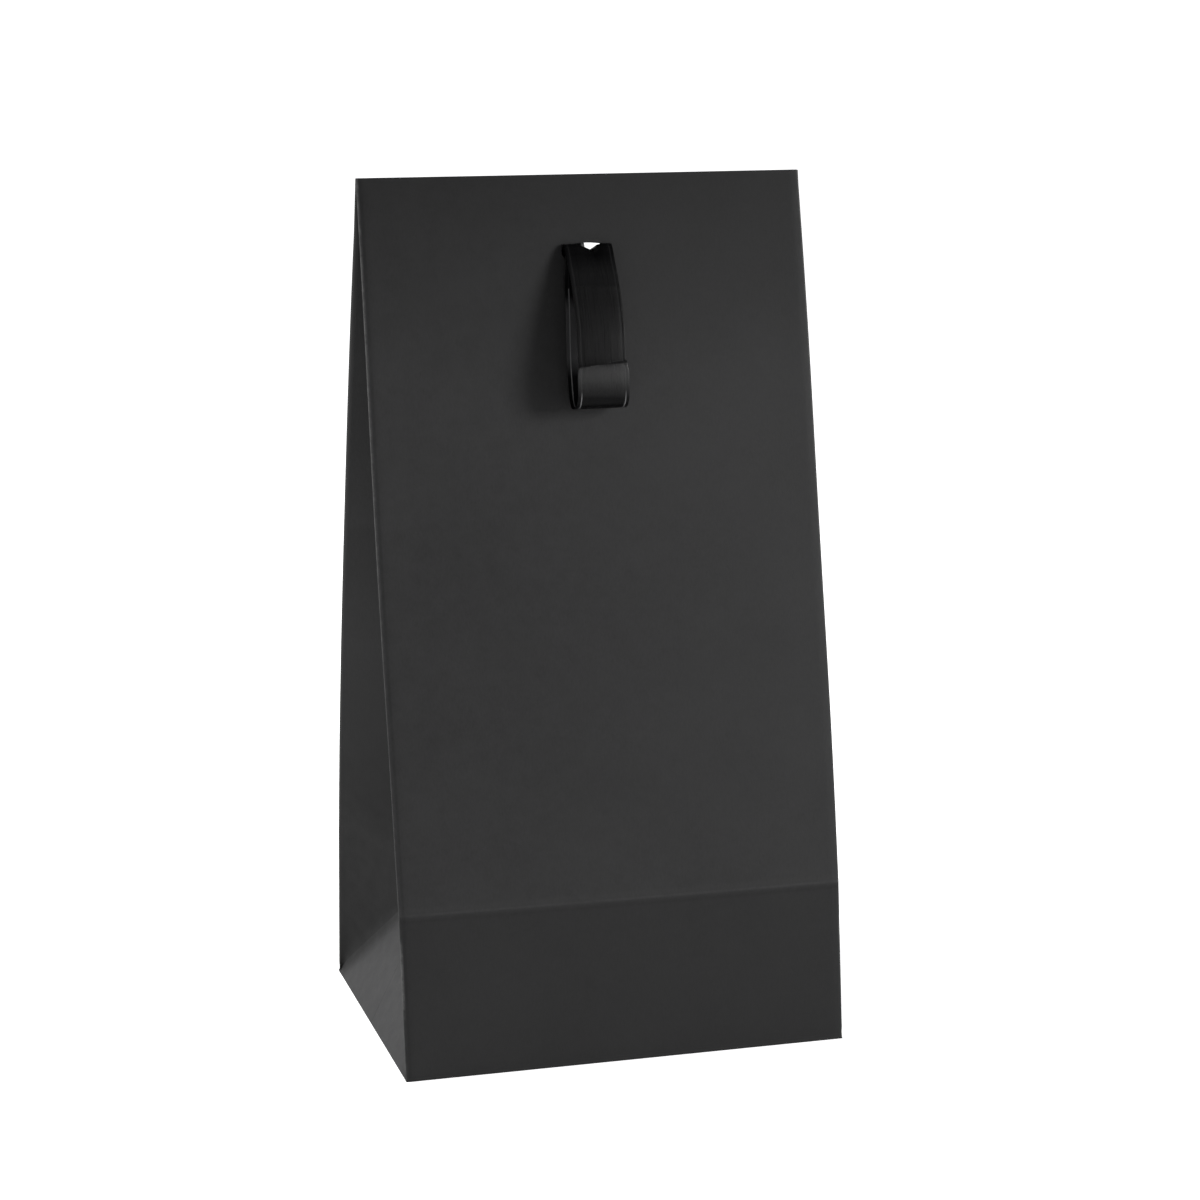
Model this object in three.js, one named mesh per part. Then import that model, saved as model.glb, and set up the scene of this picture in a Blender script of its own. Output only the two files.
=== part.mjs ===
// Block-bottom gift bag folded from one sheet of black paper, standing on its rectangular base with
// its mouth pinched flat, and a satin ribbon loop that hangs from a slot punched near the top.
//
// Millimetres, +Z up, +X to the right of someone who faces the front panel, and the front faces -Y.
// The origin is the middle of the base, on the surface that the bag stands on. Each flat area between
// two creases is a mesh of its own, and so is each stretch of the ribbon.

import * as THREE from 'three';

// Driving dimensions.
const WIDTH = 130;
const DEPTH = 100;
const PAPER = 0.3;
const GAP = 0.3;
const PANEL_LENGTH = 253;
const CREASE_AT = 46.4;
const LOWER_LEAN = THREE.MathUtils.degToRad(6.4);
const TOP_HALF_GAP = 1.8;
const TRIANGLE_TILT = THREE.MathUtils.degToRad(26.6);

const SLOT_WIDTH = 15;
const SLOT_HEIGHT = 5;
const SLOT_BELOW_TOP = 21.3;

const RIBBON_WIDTH = 14.4;
const RIBBON_THICKNESS = 0.3;
const PASS_BELOW_MIDDLE = 0.5;
const KNOT_RADII = new THREE.Vector3(6.4, 4.2, 4.5);
const TAIL_LENGTH = 44;
const TAIL_SPREAD = THREE.MathUtils.degToRad(11);
const TAIL_BELOW_KNOT = 1;

const BOTTOM_OVERLAP = 18;
const SIDE_FLAP_REACH = 36;
const SEAM_WIDTH = 15;

// Clearances: along a crease on each side of it, at the folded-in valley, and beside the walls.
const CREASE_INSET = 0.3;
const SEAM_INSET = 1.2;
const UPPER_SIDE_INSET = 1.2;
const DIAGONAL_INSET = 1.1;
const BOTTOM_INSET = 2;
const TUCK_INSET_X = 2;
const TUCK_INSET_Y = 3;
const VALLEY_TRIM_LOW = 2.8;
const VALLEY_TRIM_TOP = 1.4;
const VALLEY_TRIM_BELLY = 3.1;
const VALLEY_HALF_GAP = 0.4;
const GUSSET_OFFSET = 1.1;

// How finely the curved shapes are divided.
const SLOT_END_STEPS = 5;
const SIDE_STEPS_ACROSS = 3;
const SIDE_STEPS_UP = 12;
const LOOP_STEPS = 44;
const KNOT_STEPS_AROUND = 16;
const KNOT_STEPS_UP = 10;

// Places worked out from them. A wall is described by how far along the paper a point is from the
// bottom edge, and its half gap is the distance from the middle plane of the bag to its inner face.
const HALF_WIDTH = WIDTH / 2;
const HALF_DEPTH = DEPTH / 2;
const CREASE_HALF_GAP = HALF_DEPTH - CREASE_AT * Math.sin(LOWER_LEAN);
const CREASE_HEIGHT = CREASE_AT * Math.cos(LOWER_LEAN);
const UPPER_LENGTH = PANEL_LENGTH - CREASE_AT;
const UPPER_LEAN = Math.asin((CREASE_HALF_GAP - TOP_HALF_GAP) / UPPER_LENGTH);
const TOP_HEIGHT = CREASE_HEIGHT + UPPER_LENGTH * Math.cos(UPPER_LEAN);
const SLOT_CENTRE = UPPER_LENGTH - SLOT_BELOW_TOP;

// The meshes are made for the front or left, and the rear or right ones are their mirror images.
const FRONT = -1;
const REAR = 1;
const LEFT = -1;
const RIGHT = 1;

const bag = new THREE.Group();

function paper(shade) {
  return new THREE.MeshStandardMaterial({ color: shade, roughness: 0.86, metalness: 0 });
}

function satin() {
  return new THREE.MeshStandardMaterial({ color: 0x161616, roughness: 0.42, metalness: 0 });
}

function addMesh(name, geometry, material) {
  const mesh = new THREE.Mesh(geometry, material);
  mesh.name = name;
  bag.add(mesh);
}

// Half the inner width of the bag, front to rear, at a height above the crease.
function halfGapAt(height) {
  return CREASE_HALF_GAP - (height - CREASE_HEIGHT) * Math.tan(UPPER_LEAN);
}

// Turns the faces of a mirrored or reversed geometry the right way out again.
function flipFaces(geometry) {
  const index = geometry.getIndex();
  if (index) {
    for (let i = 0; i < index.count; i += 3) {
      const second = index.getX(i + 1);
      index.setX(i + 1, index.getX(i + 2));
      index.setX(i + 2, second);
    }
    return geometry;
  }
  for (const attribute of Object.values(geometry.attributes)) {
    for (let i = 0; i < attribute.count; i += 3) {
      for (let k = 0; k < attribute.itemSize; k += 1) {
        const second = attribute.getComponent(i + 1, k);
        attribute.setComponent(i + 1, k, attribute.getComponent(i + 2, k));
        attribute.setComponent(i + 2, k, second);
      }
    }
  }
  return geometry;
}

// The same geometry on the other side of the bag: sideX of 1 mirrors left to right, and sideY of 1
// mirrors front to rear.
function onSide(geometry, sideX, sideY) {
  const mirrorX = sideX === RIGHT ? -1 : 1;
  const mirrorY = sideY === REAR ? -1 : 1;
  geometry.scale(mirrorX, mirrorY, 1);
  return mirrorX * mirrorY < 0 ? flipFaces(geometry) : geometry;
}

// A flat outline cut from sheet and put in space: the outline's x runs along `along`, its y along
// `up`, and the sheet's thickness grows from `lift` in the direction of along x up.
function plate(shape, thickness, origin, along, up, lift = 0) {
  const geometry = new THREE.ExtrudeGeometry(shape, {
    depth: thickness,
    bevelEnabled: false,
    curveSegments: SLOT_END_STEPS,
  });
  const normal = new THREE.Vector3().crossVectors(along, up).normalize();
  geometry.translate(0, 0, lift);
  geometry.applyMatrix4(new THREE.Matrix4().makeBasis(along, up, normal).setPosition(origin));
  return geometry;
}

function rectangle(left, bottom, right, top) {
  return new THREE.Shape()
    .moveTo(left, bottom)
    .lineTo(right, bottom)
    .lineTo(right, top)
    .lineTo(left, top)
    .closePath();
}

// An oblong hole with round ends, its centre at (0, middle).
function slotOutline(middle) {
  const radius = SLOT_HEIGHT / 2;
  const straight = SLOT_WIDTH / 2 - radius;
  const hole = new THREE.Path();
  hole.absarc(straight, middle, radius, -Math.PI / 2, Math.PI / 2, false);
  hole.absarc(-straight, middle, radius, Math.PI / 2, (3 * Math.PI) / 2, false);
  hole.closePath();
  return hole;
}

// The front wall's planes: a point on its inner face, and the way up along the paper.
const acrossFront = new THREE.Vector3(1, 0, 0);
const lowerFoot = new THREE.Vector3(0, -HALF_DEPTH, 0);
const lowerUp = new THREE.Vector3(0, Math.sin(LOWER_LEAN), Math.cos(LOWER_LEAN));
const upperFoot = new THREE.Vector3(0, -CREASE_HALF_GAP, CREASE_HEIGHT);
const upperUp = new THREE.Vector3(0, Math.sin(UPPER_LEAN), Math.cos(UPPER_LEAN));
const upperOut = new THREE.Vector3().crossVectors(acrossFront, upperUp);

// A point on the front wall's upper plane, so far along the paper from the crease and so far out from
// the inner face.
function onUpperWall(alongPaper, out = 0, x = 0) {
  return upperFoot
    .clone()
    .addScaledVector(upperUp, alongPaper)
    .addScaledVector(upperOut, out)
    .setX(x);
}

function addWall(name, side) {
  const lower = rectangle(-HALF_WIDTH, 2 * CREASE_INSET, HALF_WIDTH, CREASE_AT - CREASE_INSET);
  const upper = rectangle(-HALF_WIDTH, CREASE_INSET, HALF_WIDTH, UPPER_LENGTH);
  upper.holes.push(slotOutline(SLOT_CENTRE));
  const lowerPlate = plate(lower, PAPER, lowerFoot, acrossFront, lowerUp);
  const upperPlate = plate(upper, PAPER, upperFoot, acrossFront, upperUp);
  addMesh(`${name}_panel_lower`, onSide(lowerPlate, LEFT, side), paper(0x303030));
  addMesh(`${name}_panel`, onSide(upperPlate, LEFT, side), paper(0x363636));
}

// The strip that closes the sheet into a tube, glued inside the rear panel along its left edge.
function addSeam() {
  const left = -HALF_WIDTH + SEAM_INSET;
  const strip = rectangle(left, SEAM_INSET, left + SEAM_WIDTH, UPPER_LENGTH - SEAM_INSET);
  const geometry = plate(strip, PAPER, upperFoot, acrossFront, upperUp, -GAP - PAPER);
  addMesh('seam_strip', onSide(geometry, LEFT, REAR), paper(0x343434));
}

// Half of a folded-in side above the crease: a sheet ruled by level lines, from the wall's edge in to
// the valley, that turns from nearly square to the wall at the crease to flat against it at the top.
function upperGussetHalf() {
  const start = CREASE_HEIGHT + UPPER_SIDE_INSET;
  const end = TOP_HEIGHT - CREASE_INSET;
  const geometry = new THREE.BoxGeometry(1, 1, 1, SIDE_STEPS_ACROSS, SIDE_STEPS_UP, 1);
  const place = geometry.getAttribute('position');
  for (let i = 0; i < place.count; i += 1) {
    const rise = place.getY(i) + 0.5;
    const height = THREE.MathUtils.lerp(start, end, rise);
    const belly = VALLEY_TRIM_BELLY * 4 * rise * (1 - rise);
    const trim = THREE.MathUtils.lerp(VALLEY_TRIM_LOW, VALLEY_TRIM_TOP, rise) + belly;
    const inward = THREE.MathUtils.lerp(2 * CREASE_INSET, HALF_DEPTH - trim, place.getX(i) + 0.5);
    const edge = halfGapAt(height) - GUSSET_OFFSET;
    const reach = edge - VALLEY_HALF_GAP;
    const depth = Math.sqrt(HALF_DEPTH * HALF_DEPTH - reach * reach);
    const level = new THREE.Vector2(depth, reach).divideScalar(HALF_DEPTH);
    const off = place.getZ(i) * PAPER;
    place.setXYZ(
      i,
      -HALF_WIDTH + level.x * inward + level.y * off,
      -edge + level.y * inward - level.x * off,
      height,
    );
  }
  return geometry;
}

// A triangle of sheet centred on the plane of its corners. Each inset draws in the side that runs from
// the corner of the same number to the next one.
function trianglePlate(corners, insets) {
  const along = corners[1].clone().sub(corners[0]).normalize();
  const normal = new THREE.Vector3()
    .crossVectors(along, corners[2].clone().sub(corners[0]))
    .normalize();
  const up = new THREE.Vector3().crossVectors(normal, along);
  const flat = corners.map((corner) => {
    const from = corner.clone().sub(corners[0]);
    return new THREE.Vector2(from.dot(along), from.dot(up));
  });
  const outline = flat.map((corner, i) => {
    const before = (i + 2) % 3;
    return insetCorner(flat[before], corner, flat[(i + 1) % 3], insets[before], insets[i]);
  });
  return plate(new THREE.Shape(outline), PAPER, corners[0], along, up, -PAPER / 2);
}

// Where the two sides that meet at a corner cross once each has moved in by its own inset. A side's
// inward normal is its direction turned a quarter to the left.
function insetCorner(before, corner, after, insetIn, insetOut) {
  const inDirection = corner.clone().sub(before).normalize();
  const outDirection = after.clone().sub(corner).normalize();
  const turn = inDirection.cross(outDirection);
  return corner
    .clone()
    .addScaledVector(inDirection, -insetOut / turn)
    .addScaledVector(outDirection, insetIn / turn);
}

const baseCorner = new THREE.Vector3(-HALF_WIDTH, -HALF_DEPTH, 0);
const creaseCorner = new THREE.Vector3(-HALF_WIDTH, -CREASE_HALF_GAP, CREASE_HEIGHT);
const apex = new THREE.Vector3(
  -HALF_WIDTH + HALF_DEPTH * Math.sin(TRIANGLE_TILT),
  0,
  HALF_DEPTH * Math.cos(TRIANGLE_TILT),
);

// The small facet between the wall's lower edge and the diagonal crease that runs up to the apex.
function lowerGussetFacet() {
  const insets = [DIAGONAL_INSET, 2 * CREASE_INSET, 3 * CREASE_INSET];
  return trianglePlate([baseCorner, apex, creaseCorner], insets);
}

function addGusset(side) {
  const name = side === LEFT ? 'gusset_left' : 'gusset_right';
  const rearCorner = baseCorner.clone().setY(HALF_DEPTH);
  const insets = [BOTTOM_INSET, DIAGONAL_INSET, DIAGONAL_INSET];
  const triangle = trianglePlate([rearCorner, baseCorner, apex], insets);
  addMesh(`${name}_triangle`, onSide(triangle, side, FRONT), paper(0x404040));
  for (const end of [FRONT, REAR]) {
    const half = end === FRONT ? 'front' : 'rear';
    addMesh(`${name}_${half}`, onSide(upperGussetHalf(), side, end), paper(0x2b2b2b));
    addMesh(`${name}_${half}_lower`, onSide(lowerGussetFacet(), side, end), paper(0x2e2e2e));
  }
}

// The folded bottom: the rear flap lies flat, the front flap steps up over it, and a tuck from each
// side lies on top of both, inside the bag.
function addBottom() {
  const reach = HALF_DEPTH - 2 * CREASE_INSET;
  const reachX = HALF_WIDTH - 2 * CREASE_INSET;
  const lap = BOTTOM_OVERLAP / 2;
  const along = new THREE.Vector3(0, 1, 0);
  const up = new THREE.Vector3(0, 0, 1);
  const from = new THREE.Vector3(-reachX, 0, 0);
  const rear = plate(rectangle(-lap, 0, reach, PAPER), 2 * reachX, from, along, up);
  addMesh('bottom_flap_rear', rear, paper(0x333333));

  const step = PAPER + GAP;
  const stepped = new THREE.Shape()
    .moveTo(-reach, 0)
    .lineTo(-lap - GAP - step, 0)
    .lineTo(-lap - GAP, step)
    .lineTo(lap, step)
    .lineTo(lap, step + PAPER)
    .lineTo(-lap - GAP - PAPER, step + PAPER)
    .lineTo(-lap - GAP - PAPER - step, PAPER)
    .lineTo(-reach, PAPER)
    .closePath();
  addMesh('bottom_flap_front', plate(stepped, 2 * reachX, from, along, up), paper(0x333333));

  const outer = HALF_WIDTH - TUCK_INSET_X;
  const inner = outer - SIDE_FLAP_REACH;
  const wide = HALF_DEPTH - TUCK_INSET_Y;
  const narrow = wide - SIDE_FLAP_REACH;
  for (const side of [LEFT, RIGHT]) {
    const tuck = new THREE.Shape()
      .moveTo(-outer, -wide)
      .lineTo(-inner, -narrow)
      .lineTo(-inner, narrow)
      .lineTo(-outer, wide)
      .closePath();
    const x = new THREE.Vector3(1, 0, 0);
    const geometry = plate(tuck, PAPER, new THREE.Vector3(), x, along, 2 * step);
    const name = side === LEFT ? 'bottom_tuck_left' : 'bottom_tuck_right';
    addMesh(name, onSide(geometry, side, FRONT), paper(0x333333));
  }
}

// The loop's path seen from the side, as (down along the panel, out from its outer face): down the
// panel, round the soft curl at the bottom, and back up as the front strand, which bows away from it.
const LOOP_PATH = [
  [2.2, 0.5],
  [14, 0.5],
  [30, 0.5],
  [38, 1.1],
  [43.2, 3.6],
  [44.9, 7.2],
  [43.3, 10.9],
  [38.5, 12.6],
  [30, 12.2],
  [20, 9.9],
  [10, 6.2],
  [4.5, 3.5],
  [2.6, 2.2],
];

// The outline of a thin band that follows a path, from one side of the path back along the other.
function bandOutline(path, thickness, steps) {
  const curve = new THREE.SplineCurve(path.map(([x, y]) => new THREE.Vector2(x, y)));
  const sides = [[], []];
  for (let i = 0; i <= steps; i += 1) {
    const at = curve.getPoint(i / steps);
    const tangent = curve.getTangent(i / steps);
    const offset = new THREE.Vector2(-tangent.y, tangent.x).multiplyScalar(thickness / 2);
    sides[0].push(at.clone().sub(offset));
    sides[1].unshift(at.clone().add(offset));
  }
  return new THREE.Shape([...sides[0], ...sides[1]]);
}

// The doubled ribbon in one slot, from the wall's outer face to the middle of the bag. It lies a
// little under the slot's middle, where the round ends leave it room.
function slotPass() {
  const outside = onUpperWall(SLOT_CENTRE - PASS_BELOW_MIDDLE, PAPER);
  const length = -outside.y - GAP / 2;
  const geometry = new THREE.BoxGeometry(RIBBON_WIDTH, length, 2 * RIBBON_THICKNESS);
  return geometry.translate(0, outside.y + length / 2, outside.z);
}

// A ribbon end that hangs from the knot, cut at a slant, in a layer of its own over the rear panel.
function tail(side, layer) {
  const half = RIBBON_WIDTH / 2;
  const start = KNOT_RADII.z + TAIL_BELOW_KNOT;
  const strip = new THREE.Shape()
    .moveTo(-half, -start)
    .lineTo(-half, -start - TAIL_LENGTH)
    .lineTo(half, -start - TAIL_LENGTH + half)
    .lineTo(half, -start)
    .closePath();
  const turn = side * TAIL_SPREAD;
  const along = new THREE.Vector3(Math.cos(turn), 0, 0).addScaledVector(upperUp, Math.sin(turn));
  const up = new THREE.Vector3(-Math.sin(turn), 0, 0).addScaledVector(upperUp, Math.cos(turn));
  return plate(strip, RIBBON_THICKNESS, onUpperWall(SLOT_CENTRE), along, up, layer);
}

function addRibbon() {
  const slotEdge = onUpperWall(SLOT_CENTRE - SLOT_HEIGHT / 2, PAPER, RIBBON_WIDTH / 2);
  const down = upperUp.clone().negate();
  const loop = plate(
    bandOutline(LOOP_PATH, RIBBON_THICKNESS, LOOP_STEPS),
    RIBBON_WIDTH,
    slotEdge,
    down,
    upperOut,
  );
  addMesh('ribbon_loop', loop, satin());
  addMesh('ribbon_pass_front', slotPass(), satin());
  addMesh('ribbon_pass_rear', onSide(slotPass(), LEFT, REAR), satin());

  const knot = new THREE.SphereGeometry(1, KNOT_STEPS_AROUND, KNOT_STEPS_UP);
  knot.scale(KNOT_RADII.x, KNOT_RADII.y, KNOT_RADII.z);
  const centre = onUpperWall(SLOT_CENTRE, PAPER + GAP + KNOT_RADII.y);
  knot.translate(centre.x, centre.y, centre.z);
  addMesh('ribbon_knot', onSide(knot, LEFT, REAR), satin());

  const firstLayer = PAPER + GAP;
  const layerStep = RIBBON_THICKNESS + GAP;
  for (const side of [LEFT, RIGHT]) {
    const layer = side === LEFT ? firstLayer : firstLayer + layerStep;
    const name = side === LEFT ? 'ribbon_tail_left' : 'ribbon_tail_right';
    addMesh(name, onSide(tail(side, layer), LEFT, REAR), satin());
  }
}

addWall('front', FRONT);
addWall('rear', REAR);
addSeam();
addGusset(LEFT);
addGusset(RIGHT);
addBottom();
addRibbon();

export default bag;
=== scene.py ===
# Black paper gift bag with a satin ribbon loop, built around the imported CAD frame.
#
# Shapes are worked out in millimetres and turned to metres when a mesh is made. The paper is one
# folded sheet: its front and rear faces, its folded-in sides and their lower facets are thin closed
# shells that meet at the creases. The ribbon is a set of thin strips. Left and right are as seen from
# the front, which faces -Y.
import math

import bmesh
import bpy
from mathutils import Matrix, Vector


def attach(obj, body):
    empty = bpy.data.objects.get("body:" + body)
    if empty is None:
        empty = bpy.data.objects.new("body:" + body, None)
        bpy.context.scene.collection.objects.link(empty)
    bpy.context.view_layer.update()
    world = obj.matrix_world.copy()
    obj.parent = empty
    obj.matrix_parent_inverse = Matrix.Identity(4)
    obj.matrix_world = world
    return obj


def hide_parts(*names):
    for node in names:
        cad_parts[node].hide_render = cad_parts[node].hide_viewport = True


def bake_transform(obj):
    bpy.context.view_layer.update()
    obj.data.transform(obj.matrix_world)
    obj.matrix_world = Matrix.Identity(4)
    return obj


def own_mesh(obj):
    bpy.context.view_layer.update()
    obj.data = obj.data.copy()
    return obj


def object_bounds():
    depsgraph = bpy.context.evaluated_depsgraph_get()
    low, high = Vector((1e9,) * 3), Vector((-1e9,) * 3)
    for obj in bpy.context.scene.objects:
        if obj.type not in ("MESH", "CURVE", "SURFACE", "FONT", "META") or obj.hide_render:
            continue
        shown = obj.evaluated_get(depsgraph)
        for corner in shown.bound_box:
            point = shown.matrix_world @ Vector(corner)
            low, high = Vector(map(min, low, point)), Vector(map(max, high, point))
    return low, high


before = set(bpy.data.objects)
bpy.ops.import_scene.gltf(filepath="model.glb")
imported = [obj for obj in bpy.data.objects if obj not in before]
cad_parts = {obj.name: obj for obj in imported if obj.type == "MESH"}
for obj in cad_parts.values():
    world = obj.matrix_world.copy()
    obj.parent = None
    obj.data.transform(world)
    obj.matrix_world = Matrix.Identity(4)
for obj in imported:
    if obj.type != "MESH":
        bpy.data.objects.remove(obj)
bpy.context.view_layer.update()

MM = 0.001
FRONT, REAR = -1, 1
LEFT, RIGHT = -1, 1

# The bag, in millimetres. Its width comes from the frame, and the rest repeats the CAD's dimensions.
HALF_WIDTH = (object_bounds()[1] / MM).x
HALF_DEPTH = 50.0
CREASE_AT = 46.4         # the crease across each panel, as a length up along the paper
PANEL_LENGTH = 253.0     # the paper's length from the base up to the mouth
UPPER_LENGTH = PANEL_LENGTH - CREASE_AT
STANDING_HEIGHT = 248.0
LOWER_LEAN = math.radians(6.4)
CREASE_HALF = HALF_DEPTH - CREASE_AT * math.sin(LOWER_LEAN)
CREASE_Z = CREASE_AT * math.cos(LOWER_LEAN)
TOP_HALF = 0.75          # half of the gap between the walls at the closed mouth
UPPER_LEAN = math.asin((CREASE_HALF - TOP_HALF) / UPPER_LENGTH)
PAPER = 0.2
SLOT_AT = PANEL_LENGTH - 21.3
SLOT_WIDTH = 15.0
SLOT_HEIGHT = 5.0
APEX_DEPTH = 22.39       # how far in, and how high, the apex of a side's triangle is
APEX_Z = 44.7

# What the drawn sheet adds to the CAD's flat areas, in millimetres.
BOTTOM_RADIUS = 0.4
FOLD_RADIUS = 0.55       # the folds between the walls and the sides
SOFT_FOLD_RADIUS = 1.5   # the same at the rear left, which isn't pressed as sharp
FOLD_SHARE = 0.33        # a fold's radius is at most this share of the walls' half gap
LOWER_FOLD_ANGLE = math.radians(63.5)
CREASE_RIDGE = 0.05      # the crease stands out a little, this far and over about this width
CREASE_WIDTH = 0.7
BOW = 1.7                # how far the walls bow outwards above the crease, and the bow's second wave
BOW_WAVE = 0.4
TOP_EXTRA = 0.8          # how much further up the panels run than the CAD's
SIDE_TOP = 248.2
SIDE_BOW = 0.8           # how far a side's halves bow, and how deep their slow waves are
SIDE_WAVE = 0.35
DIAGONAL_SOFTNESS = 3.4  # how softly a triangle turns into its facets
LEFT_SHORT = 4.2         # how far the left side's rear half stops short of its valley, at most
RIGHT_SHORT = 3.0        # the same on the right side
VALLEY_GAP = 0.12        # half of the gap between the two halves of a side, at their valley
SEAM_ACROSS = (1.8 - HALF_WIDTH, 16.5 - HALF_WIDTH)  # the glue seam, inside the rear panel's left edge
SEAM_ALONG = (2.0, PANEL_LENGTH - 1.2)
SEAM_INSET = 0.32        # from the rear panel's middle surface in to the seam's

# The ribbon, in millimetres.
RIBBON = 15.0
RIBBON_THICK = 0.3
SLOT_PIVOT = Vector((0.0, -7.0502, 224.965))  # the front slot's lower edge, where the loop hangs
WALL_TILT = math.radians(12.0207)
KNOT = Vector((0.0, 10.93, 228.35))
KNOT_SHIFT = Vector((-2.4, 0.0, -1.4))        # keeps light showing through both slots beside it
CROWN = 0.08             # how far the ribbon's middle stands up from its edges
SLOT_SHARE = 0.93        # the ribbon's share of its full width where it is gathered in a slot
SLOT_NOTCH = 2.0         # the depth of its lengthwise fold there
NECK_TO_LOOP = 8.0       # how far below the slot's lower edge the necks end and the loop begins
TUCK = 1.3               # how far in past that edge the necks end and the passes begin
# How far down from the slot's lower edge each layer passes, through the front slot and the rear one.
LAYERS = {"low": (-3.7, -0.95), "high": (-4.6, -1.45)}

# For the meshes.
SHARP_EDGE = math.radians(40)
WELD = 2e-7              # points this close are joined, in metres
PROBE = 1e-3             # the step in a shell's parameters that finds its normal


# ---------------------------------------------------------------- small helpers

def clamp(value, low=0.0, high=1.0):
    return max(low, min(high, value))


def lerp(a, b, t):
    return a + (b - a) * t


def smooth(t):
    t = clamp(t)
    return t * t * (3 - 2 * t)


def smooth_min(a, b, reach):
    """The smaller of two values, turning softly from one to the other within reach."""
    if reach <= 0:
        return min(a, b)
    h = clamp(0.5 + 0.5 * (b - a) / reach)
    return lerp(b, a, h) - reach * h * (1 - h)


def through(points, t):
    """A smooth curve through evenly weighted points, at t from 0 to 1 (Catmull-Rom)."""
    count = len(points) - 1
    span = min(int(t * count), count - 1)
    f = t * count - span
    p1, p2 = points[span], points[span + 1]
    p0 = points[span - 1] if span > 0 else tuple(2 * a - b for a, b in zip(p1, p2))
    p3 = points[span + 2] if span + 2 <= count else tuple(2 * b - a for a, b in zip(p1, p2))
    return tuple(
        0.5 * (
            2 * b + (c - a) * f
            + (2 * a - 5 * b + 4 * c - d) * f ** 2
            + (3 * b - a - 3 * c + d) * f ** 3
        )
        for a, b, c, d in zip(p0, p1, p2, p3)
    )


def steps(start, end, count):
    return [lerp(start, end, i / count) for i in range(count + 1)]


def grid(columns, rows):
    """Parameter pairs and faces of a rectangular grid."""
    params = [(a, b) for b in rows for a in columns]
    wide = len(columns)
    faces = [
        (r * wide + c, r * wide + c + 1, (r + 1) * wide + c + 1, (r + 1) * wide + c)
        for r in range(len(rows) - 1)
        for c in range(wide - 1)
    ]
    return params, faces


def make_object(name, vertices, faces, uvs, material):
    """A mesh object from vertices in millimetres, with a UV for each vertex, in metres."""
    mesh = bpy.data.meshes.new(name)
    mesh.from_pydata([tuple(Vector(v) * MM) for v in vertices], [], faces)
    layer = mesh.uv_layers.new(name="sheet")
    for loop in mesh.loops:
        layer.data[loop.index].uv = uvs[loop.vertex_index]
    work = bmesh.new()
    work.from_mesh(mesh)
    bmesh.ops.remove_doubles(work, verts=work.verts, dist=WELD)
    bmesh.ops.dissolve_degenerate(work, dist=WELD / 2, edges=work.edges)
    for face in work.faces:
        face.smooth = True
    for edge in work.edges:
        if edge.is_manifold and edge.calc_face_angle(0.0) > SHARP_EDGE:
            edge.smooth = False
    work.to_mesh(mesh)
    work.free()
    mesh.materials.append(material)
    obj = bpy.data.objects.new(name, mesh)
    bpy.context.scene.collection.objects.link(obj)
    return obj


def shell(name, params, faces, place, thickness, material, flip=False):
    """A thin closed shell. Each parameter pair is put in space by place(a, b), which also says where
    it is on the flat sheet, and the thickness is shared between the two sides."""
    outer, inner, uvs = [], [], []
    for a, b in params:
        point, flat = place(a, b)
        across = Vector(place(a + PROBE, b)[0]) - Vector(place(a - PROBE, b)[0])
        along = Vector(place(a, b + PROBE)[0]) - Vector(place(a, b - PROBE)[0])
        normal = across.cross(along).normalized() * (thickness / 2)
        outer.append(Vector(point) + normal)
        inner.append(Vector(point) - normal)
        uvs.append((flat[0] * MM, flat[1] * MM))
    count = len(params)
    solid = [tuple(face) for face in faces]
    solid += [tuple(i + count for i in reversed(face)) for face in faces]
    edges = [(face[i], face[(i + 1) % len(face)]) for face in faces for i in range(len(face))]
    known = set(edges)
    for first, second in edges:
        if (second, first) not in known:
            solid.append((second, first, first + count, second + count))
    if flip:
        solid = [tuple(reversed(face)) for face in solid]
    return make_object(name, outer + inner, solid, uvs + uvs, material)


# ---------------------------------------------------------------- the folded sheet

def sway(x, z):
    """How far the standing bag is twisted to the rear at its left end."""
    at_heights = [0.0, 1.6, 3.6, 4.8, 4.6, 3.4, 1.8]
    amount = through([(shift,) for shift in at_heights], clamp(z / STANDING_HEIGHT))[0]
    return amount * ((1 - x / HALF_WIDTH) / 2) ** 2


def waves(x, z, side):
    """Slow unevenness of paper that has been folded and handled, fading out at the base and mouth."""
    hold = smooth(z / 60.0) * smooth((252.0 - z) / 40.0)
    rising = 0.16 * math.sin(x / 23.0 + z / 61.0 + side)
    falling = 0.12 * math.sin(x / 41.0 - z / 37.0 + 2.1 * side)
    return hold * (rising + falling)


def wall_profile(s):
    """Half gap and height of the wall's middle surface, so far up along the paper."""
    if s < BOTTOM_RADIUS:
        turn = (BOTTOM_RADIUS - s) / BOTTOM_RADIUS
        half = HALF_DEPTH - BOTTOM_RADIUS * (1 - math.cos(turn))
        return half, BOTTOM_RADIUS * (1 - math.sin(turn)) + PAPER / 2
    up = s - CREASE_AT
    ridge = CREASE_RIDGE * math.exp(-((up / CREASE_WIDTH) ** 2))
    if s <= CREASE_AT:
        return HALF_DEPTH - s * math.sin(LOWER_LEAN) + ridge, s * math.cos(LOWER_LEAN)
    t = up / UPPER_LENGTH
    bow = BOW * math.sin(math.pi * t) + BOW_WAVE * math.sin(3 * math.pi * t) + ridge
    half = CREASE_HALF - up * math.sin(UPPER_LEAN) + bow * math.cos(UPPER_LEAN)
    return half, CREASE_Z + up * math.cos(UPPER_LEAN) + bow * math.sin(UPPER_LEAN)


def height_to_length(z):
    """How far up along the paper a height above the crease is."""
    s = CREASE_AT + (z - CREASE_Z) / math.cos(WALL_TILT)
    for _ in range(4):
        s += (z - wall_profile(s)[1]) / math.cos(WALL_TILT)
    return s


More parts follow.
